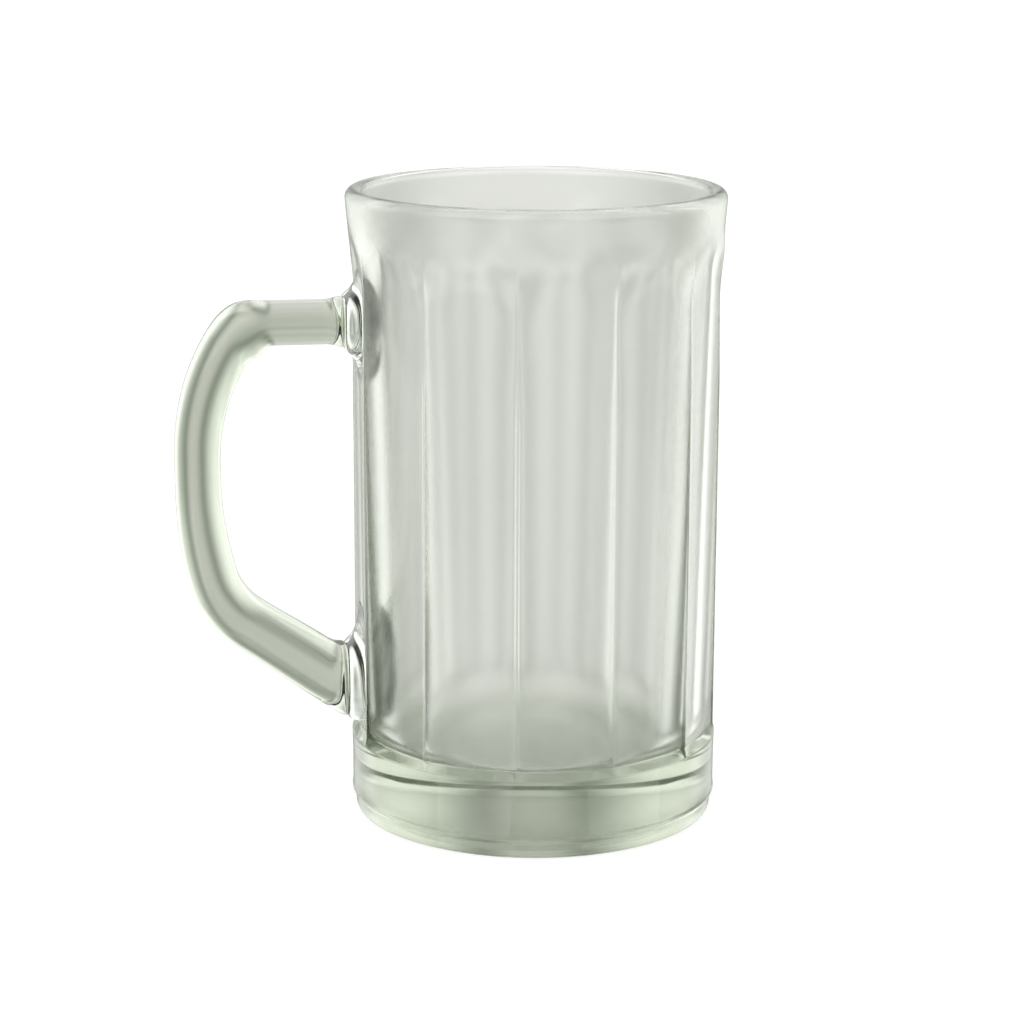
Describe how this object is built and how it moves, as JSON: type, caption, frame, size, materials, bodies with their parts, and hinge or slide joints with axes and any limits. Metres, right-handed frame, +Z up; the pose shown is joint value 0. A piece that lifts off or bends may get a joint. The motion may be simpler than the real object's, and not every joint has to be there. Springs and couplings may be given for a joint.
{
  "type": "glass beer mug",
  "caption": "Straight-sided clear glass beer mug with tall flat panels under arched heads, a rounded lip, a heavy base and a solid glass loop handle.",
  "frame": {"origin": "on the mug's axis, in the plane of the bearing ring that the mug stands on", "axes": "+Z up along the mug's axis to the lip; -X out through the middle of the handle"},
  "size_m": [0.1208, 0.083, 0.1395],
  "materials": {
    "tumbler_glass": "pressed and fire-polished soda-lime glass with a faint grey-green tint",
    "handle_glass": "solid pressed soda-lime glass, smooth, grey-green through its thickness",
    "weld_glass": "soda-lime glass fused while hot, slightly rippled"
  },
  "bodies": {
    "root": {"body": "tumbler_glass", "handle": "handle_glass", "upper_weld": "weld_glass", "lower_weld": "weld_glass"}
  },
  "joints": []
}
